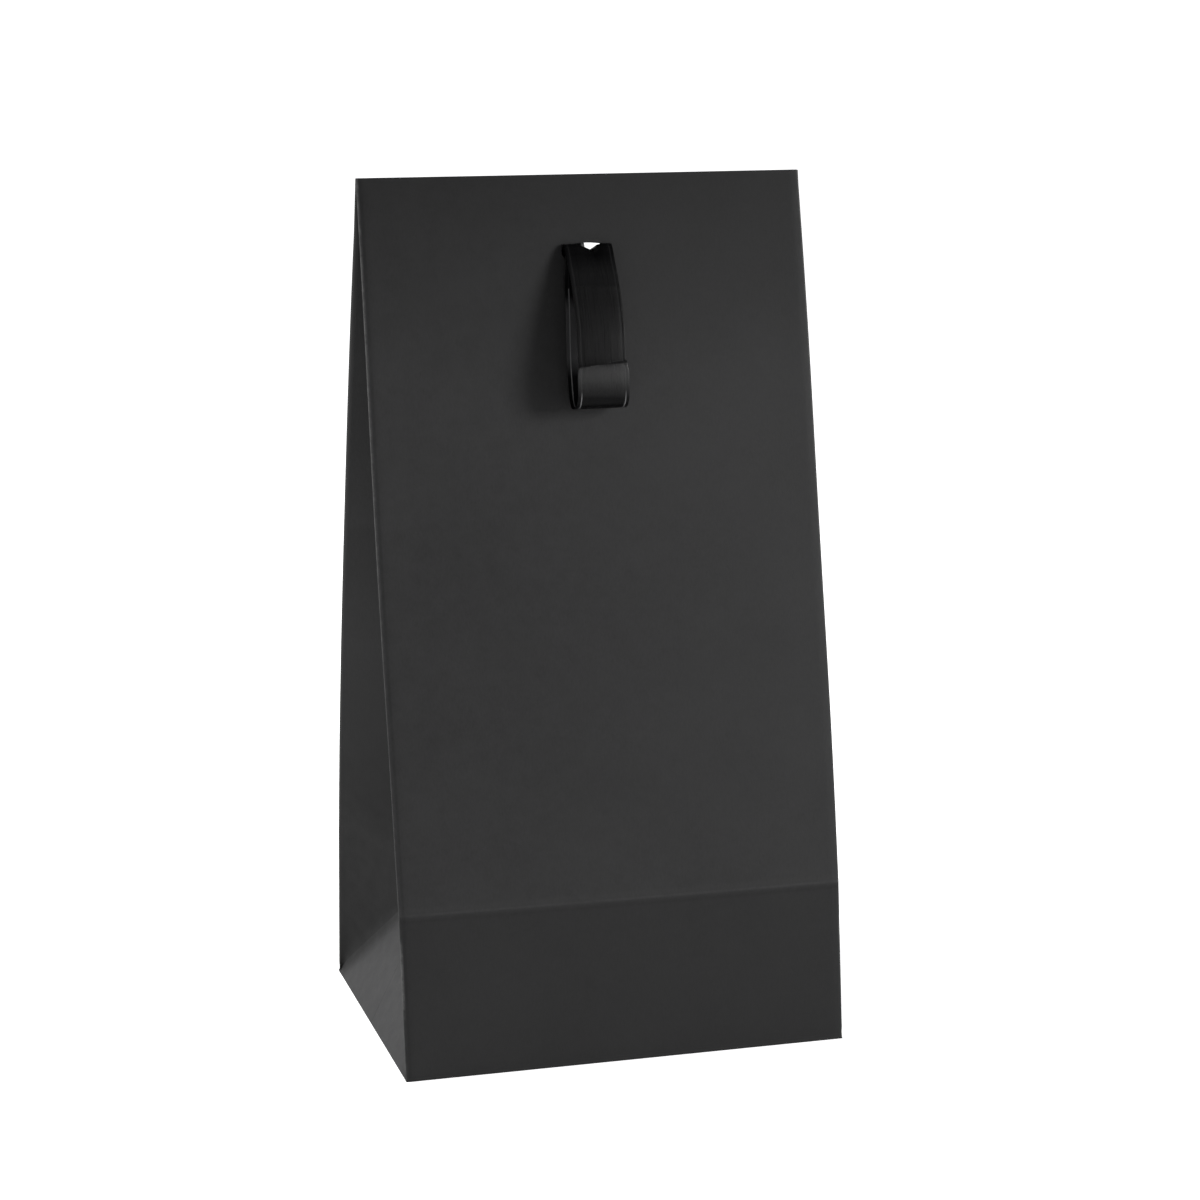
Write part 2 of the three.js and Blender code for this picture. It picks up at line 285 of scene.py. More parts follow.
def fold_radius(side, end, s):
    """The soft radius of the fold between a wall and the folded-in side, smaller near the mouth."""
    wanted = SOFT_FOLD_RADIUS if (side, end) == (LEFT, REAR) else FOLD_RADIUS
    return min(wanted, FOLD_SHARE * wall_profile(s)[0])


def fold_angle(s):
    """The angle between the wall and the side's level lines, in plan."""
    if s <= CREASE_AT:
        return LOWER_FOLD_ANGLE
    return math.asin(clamp(wall_profile(s)[0] / HALF_DEPTH))


def fold_end(side, end, s):
    """Where the rounded fold hands over to the side: how far out, and half gap."""
    radius, angle = fold_radius(side, end, s), fold_angle(s)
    half = wall_profile(s)[0]
    out = HALF_WIDTH - radius + radius * math.sin(angle)
    return out, half - radius * (1 + math.cos(angle))


def wall_place(end):
    """Places a point of a wall: column c runs from -1 to 1 over the flat, and on to -2 or 2 round the
    folds at its two edges; s is the length up along the paper."""
    def place(c, s):
        half, z = wall_profile(s)
        side = LEFT if c < 0 else RIGHT
        radius = fold_radius(side, end, s)
        flat = HALF_WIDTH - radius
        reach = abs(c)
        if reach <= 1:
            x = c * flat
            y = half + waves(x, z, end) * smooth((1 - reach) * 6)
            u = x
        else:
            turn = (reach - 1) * (math.pi - fold_angle(s))
            x = side * (flat + radius * math.sin(turn))
            y = half - radius * (1 - math.cos(turn))
            u = side * (flat + radius * turn)
        return (x, end * y + sway(x, z), z), (u, s)
    return place


# Half the width and height of the block of grid cells that a ring of faces round the slot replaces.
BLOCK_HALF_WIDTH = 12.6
BLOCK_HALF_HEIGHT = 8.0
NEAR_CREASE = 3.0
SHEET_BOTTOM = -0.2


def wall_rows():
    """Lengths up along the paper, closest together at the crease."""
    rows = [SHEET_BOTTOM]
    for end, count in (
        (BOTTOM_RADIUS, 4),
        (CREASE_AT - NEAR_CREASE, 14),
        (CREASE_AT + NEAR_CREASE, 20),
        (SLOT_AT - BLOCK_HALF_HEIGHT, 56),
        (SLOT_AT + BLOCK_HALF_HEIGHT, 8),
        (PANEL_LENGTH + TOP_EXTRA, 6),
    ):
        rows += steps(rows[-1], end, count)[1:]
    return rows


def wall_grid():
    """The wall's grid, with a ring of faces round the slot in place of the cells it cuts."""
    flat = HALF_WIDTH - FOLD_RADIUS
    columns = steps(-2, -1, 6)[:-1] + [x / flat for x in steps(-flat, flat, 52)] + steps(1, 2, 6)[1:]
    params, faces = grid(columns, wall_rows())
    slack = 0.001

    def in_block(index):
        c, s = params[index]
        return abs(c) <= BLOCK_HALF_WIDTH / flat and abs(s - SLOT_AT) <= BLOCK_HALF_HEIGHT + slack

    kept = [face for face in faces if not all(in_block(i) for i in face)]
    cut = [face for face in faces if all(in_block(i) for i in face)]
    edges = {(f[i], f[(i + 1) % 4]) for f in cut for i in range(4)}
    following = {a: b for a, b in edges if (b, a) not in edges}
    start = min(following)
    border = [start]
    while following[border[-1]] != start:
        border.append(following[border[-1]])
    outline = slot_outline_for([(params[i][0] * flat, params[i][1]) for i in border])
    rings = [border]
    for t in (0.3, 0.55, 0.75, 0.9, 1.0):
        layer = []
        for index, (x, s) in zip(border, outline):
            c0, s0 = params[index]
            layer.append(len(params))
            params.append((lerp(c0, x / flat, t), lerp(s0, s, t)))
        rings.append(layer)
    for outer, inner in zip(rings, rings[1:]):
        for i in range(len(outer)):
            k = (i + 1) % len(outer)
            kept.append((outer[i], outer[k], inner[k], inner[i]))
    return params, kept


def slot_outline_for(border):
    """For each point of the border, the point of the slot's outline in the same direction."""
    radius = SLOT_HEIGHT / 2
    straight = SLOT_WIDTH / 2 - radius
    outline = []
    for x, s in border:
        across = x * straight / BLOCK_HALF_WIDTH
        away = Vector((x - across, s - SLOT_AT))
        away.normalize()
        outline.append((across + away.x * radius, SLOT_AT + away.y * radius))
    return outline


def valley_depth(z):
    """How far in the valley of a side is above the crease: a side's half keeps its width."""
    half = wall_profile(height_to_length(z))[0]
    return math.sqrt(HALF_DEPTH ** 2 - half ** 2)


def lip_length(rise):
    """How far a side's front half runs on past the valley: nothing at the crease, about 5 mm from a
    third of the way up, and 7 mm at the top, where the halves part the most."""
    return 0.9 * smooth(rise / 0.03) + 4.0 * smooth(rise / 0.35) + 2.0 * rise ** 2


def shortfall(side, end, rise):
    """How far a half stops short of the valley: only the rear half does, and most of all halfway up."""
    if end == FRONT:
        return 0.0
    most = LEFT_SHORT if side == LEFT else RIGHT_SHORT
    start, reach = 0.04, 0.86
    return most * math.sin(math.pi * clamp((rise - start) / reach))


def upper_side_place(side, end):
    """Half of a folded-in side above the crease: c runs from the fold at 0 in to the valley at 1, and
    rise from the crease, where it lies on the lower facet, to the top. The front half runs on to 2, a
    lip inside the bag that keeps the valley closed as the mouth opens. The rear half stops short of
    the valley in its middle, where the lip covers it, so that the two don't cut through each other
    then."""
    def place(c, rise):
        if c <= 1:
            w = c * (1 - shortfall(side, end, rise) / HALF_DEPTH)
        else:
            w = 1 + (c - 1) * lip_length(rise) / HALF_DEPTH
        foot = lerp(CREASE_Z, APEX_Z, w)
        z = lerp(foot, SIDE_TOP, rise)
        s = height_to_length(z)
        out, half = fold_end(side, end, s)
        middle = math.sin(math.pi * clamp(w))
        bow = SIDE_BOW * middle * smooth((STANDING_HEIGHT - z) / 160.0)
        wave = SIDE_WAVE * middle * math.sin(z / 19.0 + 1.3 * side + 2 * end)
        wave *= smooth((245.0 - z) / 120.0)
        angle = fold_angle(s)
        x = lerp(out, HALF_WIDTH - valley_depth(z), w) + (bow + wave) * math.sin(angle)
        y = lerp(half, VALLEY_GAP, w) - (bow + wave) * math.cos(angle)
        hold = 1 - smooth((z - foot) / 7.0)
        x = lerp(x, HALF_WIDTH - side_depth(y, foot, out, half, w), hold)
        return (side * x, end * y + sway(side * x, z), z), (lerp(0, HALF_DEPTH, w), s)
    return place


def lower_depth(y, z):
    """How far the side is folded in below the crease: the triangle and the two facets, which turn
    softly into each other at the diagonal creases, less so near the base's corners and the top."""
    facet = 0.498 * (HALF_DEPTH - abs(y)) - 0.0558 * z
    triangle = z * APEX_DEPTH / APEX_Z
    reach = DIAGONAL_SOFTNESS * math.sqrt(clamp(1 - z / CREASE_Z))
    reach *= smooth(min(1.0, (HALF_DEPTH - abs(y)) / 8.0) * 0.9 + 0.1)
    return smooth_min(triangle, facet, reach)


def side_depth(y, z, out, half, w):
    """The depth of a lower facet, brought out to meet the rounded fold at the wall's edge."""
    return lower_depth(y, z) + (HALF_WIDTH - out - lower_depth(half, z)) * (1 - w) ** 2


def facet_place(side, end):
    """A lower facet, as a fan from the base corner: p is the way out along it, and q turns from the
    wall's edge to the diagonal crease."""
    def place(p, q):
        s = p * CREASE_AT
        out, half = fold_end(side, end, max(s, BOTTOM_RADIUS))
        edge_z = s * math.cos(LOWER_LEAN)
        y = lerp(half, lerp(HALF_DEPTH, VALLEY_GAP, p), q)
        z = lerp(edge_z, APEX_Z * p, q)
        x = HALF_WIDTH - side_depth(y, z, out, half, q)
        return (side * x, end * y + sway(side * x, z), z + PAPER / 2 * (1 - p)), (y, z)
    return place


def triangle_place(side):
    """The triangle between the diagonals, as rows from the base up to the apex."""
    def place(a, p):
        z = p * APEX_Z
        y = a * HALF_DEPTH * (1 - p)
        x = HALF_WIDTH - lower_depth(y, z)
        return (side * x, y + sway(side * x, z), z + PAPER / 2), (y, z)
    return place


def seam_place(x, s):
    """The glue flap inside the rear panel."""
    half, z = wall_profile(s)
    y = half - SEAM_INSET + waves(x, z, REAR)
    return (x, y + sway(x, z), z), (x, s)


def build_walls(material):
    params, faces = wall_grid()
    for end, body, names in (
        (FRONT, "front_wall", ("front_panel", "front_panel_lower")),
        (REAR, "rear_wall", ("rear_panel", "rear_panel_lower")),
    ):
        name = "paper_front" if end == FRONT else "paper_rear"
        wall = shell(name, params, faces, wall_place(end), PAPER, material, end == REAR)
        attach(wall, body)
        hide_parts(*names)


def build_seam(material):
    params, faces = grid(steps(*SEAM_ACROSS, 8), steps(*SEAM_ALONG, 60))
    seam = shell("paper_seam", params, faces, seam_place, PAPER, material, True)
    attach(seam, "rear_wall")
    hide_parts("seam_strip")


def build_side_half(side, end, label, half, material):
    """Half of a folded-in side: the tall area above the crease, and the facet below it."""
    flip = side * end < 0
    columns = steps(0, 1, 16) + ([1.5, 2.0] if end == FRONT else [])
    params, faces = grid(columns, steps(0, 1, 64))
    upper = shell(
        f"paper_{label}_{half}", params, faces, upper_side_place(side, end), PAPER, material,
        not flip,
    )
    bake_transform(upper)
    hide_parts(f"gusset_{label}_{half}")

    params, faces = grid(steps(0, 1, 14), steps(0, 1, 24))
    params = [(along, turn) for turn, along in params]
    lower = shell(
        f"paper_{label}_{half}_lower", params, faces, facet_place(side, end), PAPER, material,
        flip,
    )
    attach(lower, f"{label}_{half}_low")
    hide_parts(f"gusset_{label}_{half}_lower")


def build_triangle(side, label, material):
    params, faces = grid(steps(-1, 1, 32), steps(0, 1, 28))
    triangle = shell(
        f"paper_{label}_triangle", params, faces, triangle_place(side), PAPER, material,
        side == LEFT,
    )
    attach(triangle, f"{label}_triangle")
    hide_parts(f"gusset_{label}_triangle")


def build_paper(materials):
    build_walls(materials["face"])
    build_seam(materials["inner"])
    for side, label in ((LEFT, "left"), (RIGHT, "right")):
        for end, half in ((FRONT, "front"), (REAR, "rear")):
            build_side_half(side, end, label, half, materials["side"])
        build_triangle(side, label, materials["triangle"])
    for node in ("bottom_flap_front", "bottom_flap_rear", "bottom_tuck_left", "bottom_tuck_right"):
        set_material(node, materials["inner"])


def set_material(node, material):
    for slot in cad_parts[node].material_slots:
        slot.material = material


# ---------------------------------------------------------------- the ribbon

def on_wall(down, out, x=0.0):
    """A point beside the front panel: so far down from the slot's lower edge, and out from it."""
    return Vector((
        x,
        SLOT_PIVOT.y - math.sin(WALL_TILT) * down - math.cos(WALL_TILT) * out,
        SLOT_PIVOT.z - math.cos(WALL_TILT) * down + math.sin(WALL_TILT) * out,
    ))


def strip_section():
    """Across the ribbon, as fractions of the half width and how far the faces rise: a slight swell,
    and a groove inside each woven edge. The fractions are closest beside the notch."""
    swell = [(f, 0.02) for f in (-0.35, -0.2, -0.1, 0.0, 0.1, 0.15, 0.2, 0.25, 0.35)]
    edge = [
        (0.5, 0.01), (0.65, 0.01), (0.825, 0.0), (0.85, -0.012), (0.875, -0.012), (0.90, 0.0),
        (0.97, 0.0), (1.0, -0.02),
    ]
    return [(-f, rise) for f, rise in reversed(edge)] + swell + edge


def notch_shape(f):
    """The lengthwise fold that the ribbon has in its slot: a valley right of its middle."""
    away = f - 0.2
    right_reach, left_reach = 0.34, 0.62
    return 1 - clamp(away / right_reach if away > 0 else -away / left_reach) ** 0.9


def strip(name, path, count, material, cut=0.0):
    """A ribbon strip along a path, and its length. The path gives, for t from 0 to 1, the middle's
    place, the roll about the path in radians, the share of the full width, and the crown and the
    notch across it. Cut is how much further one edge runs than the other at the strip's end."""
    section = strip_section()
    centres = [Vector(path(i / count)[0]) for i in range(count + 1)]
    lengths = [0.0]
    for a, b in zip(centres, centres[1:]):
        lengths.append(lengths[-1] + (b - a).length)
    top, bottom, uvs = [], [], []
    for i in range(count + 1):
        centre, roll, share, crown, notch = path(i / count)
        ahead = centres[min(i + 1, count)] - centres[max(i - 1, 0)]
        ahead.normalize()
        across = Vector((1, 0, 0))
        across = (across - ahead * across.dot(ahead)).normalized()
        normal = across.cross(ahead).normalized()
        across = across * math.cos(roll) + normal * math.sin(roll)
        normal = across.cross(ahead).normalized()
        for f, rise in section:
            slant = ahead * (cut * (f + 1) / 2) if i == count else Vector()
            base = Vector(centre) + across * (f * RIBBON / 2 * share) + slant
            base = base + normal * (crown * (1 - f * f) + notch * notch_shape(f))
            top.append(base + normal * (RIBBON_THICK / 2 + rise))
            bottom.append(base - normal * (RIBBON_THICK / 2 + rise))
            uvs.append((f * RIBBON / 2 * MM, lengths[i] * MM))
    faces = strip_faces(len(section), count)
    return make_object(name, top + bottom, faces, uvs + uvs, material), lengths[-1]


def strip_faces(wide, count):
    """The faces of a strip's two sides, its edges and its ends."""
    total = wide * (count + 1)
    faces = []
    for r in range(count):
        for c in range(wide - 1):
            a = r * wide + c
            faces.append((a, a + 1, a + wide + 1, a + wide))
            faces.append((a + wide + total, a + wide + 1 + total, a + 1 + total, a + total))
        for c, turn in ((0, False), (wide - 1, True)):
            a = r * wide + c
            quad = (a, a + wide, a + wide + total, a + total)
            faces.append(quad[::-1] if turn else quad)
    for r, turn in ((0, True), (count, False)):
        for c in range(wide - 1):
            a = r * wide + c
            quad = (a, a + 1, a + 1 + total, a + total)
            faces.append(quad[::-1] if turn else quad)
    return faces


# Down the panel from the slot's lower edge and out from the panel, then the drift to the right.
BACK_NECK = [
    (LAYERS["low"][0], -TUCK, 0.0), (-3.6, -0.3, 0.0), (-2.6, 0.75, 0.0), (0.4, 1.1, 0.0),
    (4.0, 0.9, 0.0), (NECK_TO_LOOP, 0.7, 0.0),
]
LOOP = [
    (NECK_TO_LOOP, 0.7, 0.0), (15.0, 0.6, -0.1), (23.0, 0.6, -0.4), (30.5, 0.7, -0.6),
    (36.0, 0.9, -0.6), (39.9, 1.4, -0.6), (41.9, 2.8, -0.6), (42.4, 5.0, -0.6), (42.2, 7.2, -0.5),
    (41.2, 9.0, -0.5), (39.0, 10.0, -0.4), (36.0, 10.5, -0.4), (33.2, 10.9, -0.4), (31.0, 11.1, -0.4),
    (30.1, 10.9, -0.5), (28.7, 10.6, -0.5), (25.5, 10.1, -0.3), (20.5, 9.3, 0.0), (14.5, 7.9, 0.1),
    (NECK_TO_LOOP, 5.9, 0.1),
]
FRONT_NECK = [
    (NECK_TO_LOOP, 5.9, 0.1), (4.5, 4.6, 0.1), (1.0, 3.2, 0.0), (-2.0, 1.9, 0.0), (-3.8, 0.9, 0.0),
    (-4.5, -0.2, 0.0), (LAYERS["high"][0], -TUCK, 0.0),
]


def loop_path(points, first_turn, last_turn):
    """The strip's path from (down, out, drift) points. It is gathered and notched in the slot. The
    turns are 1 where the path runs down the panel and -1 where it runs up."""
    def path(t):
        down, out, drift = through(points, t)
        turn = lerp(first_turn, last_turn, smooth((t - 0.3) / 0.2))
        curl_top = 33.0
        above_curl = smooth((curl_top - down) / 3.0)
        gathered = above_curl * smooth((out - 1.0) / 2.0 + (NECK_TO_LOOP - down) / 10.0)
        share = lerp(1.0, SLOT_SHARE, gathered)
        notch = turn * SLOT_NOTCH * smooth(1 - (down + 4.4) / 6.0)
        return on_wall(down, out, drift), 0.0, share, -CROWN * turn, notch
    return path


def pass_path(end, layer):
    """Through the inside of the bag, from a slot to the middle plane. The ribbon slopes down towards
    the rear, and its lengthwise fold opens out on the way."""
    in_front, in_rear = LAYERS[layer]
    rear_notch = 0.5

    def path(t):
        to_rear = (t if end == FRONT else 2 - t) / 2
        edge = on_wall(lerp(in_front, in_rear, smooth(to_rear)), -TUCK)
        y = lerp(edge.y, 0.0, t)
        notch = lerp(SLOT_NOTCH, rear_notch, smooth(to_rear * 1.3))
        return (0.0, -end * y, edge.z), 0.0, SLOT_SHARE, CROWN * end, notch * end
    return path


def tail_path(side):
    """Down and slightly out from the knot, behind the rear panel. The right tail lies over the left."""
    spread = math.radians(11) * side
    lift = 0.0 if side == LEFT else 0.7
    root_share = 0.55
    panel_y = 7.0
    profile = [(0.0, 2.6), (4.5, 3.7), (9.0, 2.9), (16.0, 1.6), (27.0, 1.1), (38.0, 2.0), (48.0, 4.6)]

    def path(t):
        down, out = through(profile, t)
        crown = 0.35 * smooth(t * 2) + 0.3 * math.sin(t * 7 + side)
        share = lerp(root_share, 1.0, smooth(down / 12.0))
        roll = math.radians(5) * side * math.sin(3 * t)
        point = Vector((
            down * math.tan(spread) + KNOT_SHIFT.x * (1 - t),
            panel_y + math.sin(WALL_TILT) * down + math.cos(WALL_TILT) * (out + lift),
            KNOT.z - math.cos(WALL_TILT) * down + math.sin(WALL_TILT) * (out + lift),
        ))
        return point, roll, share, crown * side, 0.0
    return path


def knot_band(name, turn, width, radii, offset, material):
    """One pleated turn of ribbon round the knot, in a plane that is turned about the line out of the
    panel. It bulges in its middle and tucks in at both edges."""
    def place(a, b):
        angle = 2 * math.pi * a
        pleat = 0.20 * math.sin(b * 8.5 + 2.2 * turn) + 0.10 * math.sin(b * 15 + 3 * math.sin(angle))
        pull = 1 - 0.30 * b ** 4 + pleat / radii[1]
        x = b * width / 2 * (1 - 0.12 * math.cos(angle))
        y = math.cos(angle) * radii[0] * pull
        z = math.sin(angle) * radii[1] * pull
        across = x * math.cos(turn) - z * math.sin(turn)
        up = x * math.sin(turn) + z * math.cos(turn)
        turned = Vector((across, y, up)) + Vector(offset)
        return tuple(KNOT + KNOT_SHIFT + turned), (b * width / 2, angle * radii[1])
    params, faces = grid(steps(0, 1, 56), steps(-1, 1, 28))
    return shell(name, params, faces, place, RIBBON_THICK, material)


def build_passes(material):
    """The two layers of ribbon from each slot to the middle of the bag, and the lower layer stands
    for both of the CAD's."""
    passes = {layer: [] for layer in LAYERS}
    for end, half in ((FRONT, "front"), (REAR, "rear")):
        for layer in LAYERS:
            piece, _ = strip(f"ribbon_pass_{half}_{layer}", pass_path(end, layer), 10, material)
            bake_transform(piece)
            if layer == "low":
                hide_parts(f"ribbon_pass_{half}")
            passes[layer].append(piece)
    return passes


def build_necks(material):
    """Where the loop's two strands come out of the front slot and turn down."""
    for name, points, layer, turn in (
        ("ribbon_neck_back", BACK_NECK, "low", 1),
        ("ribbon_neck_front", FRONT_NECK, "high", -1),
    ):
        neck, length = strip(name, loop_path(points, turn, turn), 18, material)
        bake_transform(neck)


def build_loop(material):
    """The hanging loop."""
    loop, length = strip("ribbon_loop_strip", loop_path(LOOP, 1, -1), 120, material)
    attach(loop, "ribbon_loop")
    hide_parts("ribbon_loop")
    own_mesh(loop)


def build_knot(material):
    bands = [
        knot_band("ribbon_knot_wrap", 0.30, 8.6, (3.9, 4.4), (0.0, 0.2, 0.6), material),
        knot_band("ribbon_knot_cross", math.pi / 2 + 0.35, 6.4, (3.3, 5.9), (0.0, -0.2, -0.4), material),
        knot_band("ribbon_knot_core", -0.55, 7.0, (3.1, 4.9), (0.6, 0.0, -1.4), material),
    ]
    for band in bands:
        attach(band, "rear_wall")
    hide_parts("ribbon_knot")


def build_tails(material):
    for side, label in ((LEFT, "left"), (RIGHT, "right")):
        tail, length = strip(f"ribbon_tail_strip_{label}", tail_path(side), 40, material, cut=7.0 * side)
        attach(tail, "ribbon_tails")
        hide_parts(f"ribbon_tail_{label}")


def build_ribbon(materials):
    passes = build_passes(materials["satin_neck"])
    build_necks(materials["satin_neck"])
    build_loop(materials["satin_loop"])
    build_knot(materials["satin"])
    build_tails(materials["satin"])


# ---------------------------------------------------------------- materials

BLACK = (0, 0, 0, 1)
CREASE_SHADE = (0.003, 0.003, 0.003, 1)   # painted shade in a crease
RUBBED = (0.20, 0.20, 0.20, 1)       # paper rubbed pale on a fold
SPECK = (0.55, 0.55, 0.53, 1)
SATIN_DARK = (0.0008, 0.0008, 0.0009, 1)
SATIN_LIGHT = (0.0030, 0.0030, 0.0032, 1)
# the painted light on the loop's back strand
SATIN_PAINTED_LIGHT = (0.034, 0.034, 0.035, 1)
# the painted highlight on the ribbon's woven edges
SATIN_EDGE_HIGHLIGHT = (0.110, 0.110, 0.112, 1)


class Nodes:
    """A thin layer over a material's node tree, so that a formula reads as one line."""

    def __init__(self, name):
        self.material = bpy.data.materials.new(name)
        self.material.use_nodes = True
        self.tree = self.material.node_tree
        self.shader = self.tree.nodes["Principled BSDF"]

    def add(self, kind, inputs=None, **settings):
        node = self.tree.nodes.new(kind)
        for key, value in settings.items():
            setattr(node, key, value)
        for key, value in (inputs or {}).items():
            self.put(value, node.inputs[key])
        return node

    def put(self, value, socket):
        if isinstance(value, bpy.types.NodeSocket):
            self.tree.links.new(value, socket)
        else:
            socket.default_value = value

    def math(self, operation, a, b=0.0):
        node = self.add("ShaderNodeMath", operation=operation)
        self.put(a, node.inputs[0])
        self.put(b, node.inputs[1])
        return node.outputs[0]

    def times(self, a, b):
        return self.math("MULTIPLY", a, b)

    def plus(self, a, b):
        return self.math("ADD", a, b)

    def noise(self, where, scale, detail=3.0, roughness=0.55):
        return self.add(
            "ShaderNodeTexNoise",
            {"Vector": where, "Scale": scale, "Detail": detail, "Roughness": roughness},
        ).outputs["Fac"]

    def ramp(self, value, low, high, out_low=0.0, out_high=1.0):
        node = self.add("ShaderNodeMapRange", {"Value": value, "From Min": low, "From Max": high,
                                               "To Min": out_low, "To Max": out_high}, clamp=True)
        return node.outputs["Result"]

    def line(self, value, middle, half_width):
        """1 on a line and 0 beyond half_width from it."""
        away = self.math("ABSOLUTE", self.math("SUBTRACT", value, middle))
        return self.ramp(away, half_width, half_width * 0.35)

    def mix(self, factor, a, b):
        node = self.add("ShaderNodeMix", data_type="RGBA")
        self.put(factor, node.inputs[0])
        self.put(a, node.inputs[6])
        self.put(b, node.inputs[7])
        return node.outputs[2]

    def places(self):
        """The object's own coordinates, and the flat sheet's with its u and v."""
        space = self.add("ShaderNodeTexCoord").outputs["Object"]
        flat = self.add("ShaderNodeUVMap", uv_map="sheet").outputs["UV"]
        parts = self.add("ShaderNodeSeparateXYZ", {"Vector": flat}).outputs
        return space, flat, parts[0], parts[1]

    def bump(self, height, strength, distance):
        node = self.add("ShaderNodeBump", {"Height": height, "Strength": strength, "Distance": distance})
        self.put(node.outputs["Normal"], self.shader.inputs["Normal"])


def paint_shade_beyond(n, colour, v, shade_bands):
    """Painted shade: each band (from, to, share there) darkens the sheet beyond a height."""
    for start, end, share in shade_bands:
        colour = n.mix(n.ramp(v, start, end, 0.0, 1.0 - share), colour, BLACK)
    return colour


def paint_diagonal_shade(n, colour, u, v, diagonal_shade):
    """Painted shade: darkens a triangle (half width, height, reach) towards its two upper edges, the
    diagonal creases.
    """
    half_width, height, reach = diagonal_shade
    inside = n.math("SUBTRACT", half_width, n.math("ABSOLUTE", u))
    inside = n.math("SUBTRACT", inside, n.times(v, half_width / height))
    return n.mix(n.ramp(inside, reach, 0.0020, 0.0, 0.66), colour, BLACK)


def crease_lines(n, colour, u, v, breakup, lines):
    """Each line is (axis, place, half width, strength): worn pale where the strength is above 0, and
    a dark line of painted shade in a crease where it is below."""
    for axis, place, half_width, strength in lines:
        on_line = n.line(u if axis == "u" else v, place, half_width)
        on_line = n.times(on_line, n.ramp(breakup, 0.30, 0.62, 0.35, 1.0))
        colour = n.mix(n.times(on_line, abs(strength)), colour, RUBBED if strength > 0 else CREASE_SHADE)
    return colour


def worn_folds(n, colour, u, v, breakup):
    """The folds at a panel's two edges, worn pale: in a short stretch below the crease, and more
    and more from 100 to 200 mm up."""
    edge = HALF_WIDTH * MM
    reach = n.math("ABSOLUTE", u)
    on_fold = n.ramp(reach, edge - 0.00062, edge - 0.00022)
    on_fold = n.times(on_fold, n.ramp(reach, edge + 0.00075, edge + 0.00042))
    on_fold = n.times(on_fold, n.ramp(breakup, 0.34, 0.66, 0.25, 1.0))
    below = n.times(n.ramp(v, 0.017, 0.023), n.ramp(v, 0.041, 0.036))
    amount = n.plus(n.times(below, 0.26), n.ramp(v, 0.10, 0.20, 0.05, 0.20))
    return n.mix(n.times(on_fold, amount), colour, RUBBED)


def pale_specks(n, colour, space):
    """A few small specks: one cell in five has one at its point."""
    cells = n.add("ShaderNodeTexVoronoi", {"Vector": space, "Scale": 62.0}, feature="F1")
    near = n.ramp(cells.outputs["Distance"], 0.020, 0.011)
    pick = n.add("ShaderNodeSeparateColor", {"Color": cells.outputs["Color"]}).outputs[0]
    chosen = n.math("GREATER_THAN", pick, 0.80)
    return n.mix(n.times(n.times(near, chosen), 0.55), colour, SPECK)


def paper_material(name, shade, lines=(), worn=False, shade_bands=(), diagonal_shade=None):
    """Black kraft paper: mottled, with fine fibres, a few pale specks, and lines where it is creased,
    worn pale or dark as painted shade. Bands of painted shade can darken it beyond a height, and a
    triangle towards its diagonals. Places are in metres on the flat sheet."""
    n = Nodes(name)
    space, _, u, v = n.places()
    stretch = n.add("ShaderNodeMapping", {"Vector": space, "Scale": (1.0, 1.0, 0.35)}).outputs[0]
    cloud = n.noise(space, 34.0, 2.0)
    mottle = n.noise(space, 230.0, 4.0, 0.6)
    grain = n.noise(stretch, 1900.0, 2.0, 0.6)
    tone = n.plus(n.times(cloud, 0.22), n.times(mottle, 0.34))
    tone = n.plus(tone, n.times(grain, 0.30))
    tone = n.plus(tone, 0.57)

    dark = (shade[0] * 0.72, shade[1] * 0.72, shade[2] * 0.72, 1)
    light = (shade[0] * 1.28, shade[1] * 1.28, shade[2] * 1.29, 1)
    colour = n.mix(n.ramp(tone, 0.75, 1.25), dark, light)
    colour = paint_shade_beyond(n, colour, v, shade_bands)
    if diagonal_shade:
        colour = paint_diagonal_shade(n, colour, u, v, diagonal_shade)
    breakup = n.noise(space, 420.0, 3.0, 0.7)
    colour = crease_lines(n, colour, u, v, breakup, lines)
    if worn:
        colour = worn_folds(n, colour, u, v, breakup)
    colour = pale_specks(n, colour, space)

    n.put(colour, n.shader.inputs["Base Color"])
    n.put(n.ramp(mottle, 0.3, 0.7, 0.54, 0.66), n.shader.inputs["Roughness"])
    n.shader.inputs["Specular IOR Level"].default_value = 0.12
    n.bump(n.plus(n.times(grain, 0.7), n.times(mottle, 0.2)), 0.22, 0.00012)
    return n.material


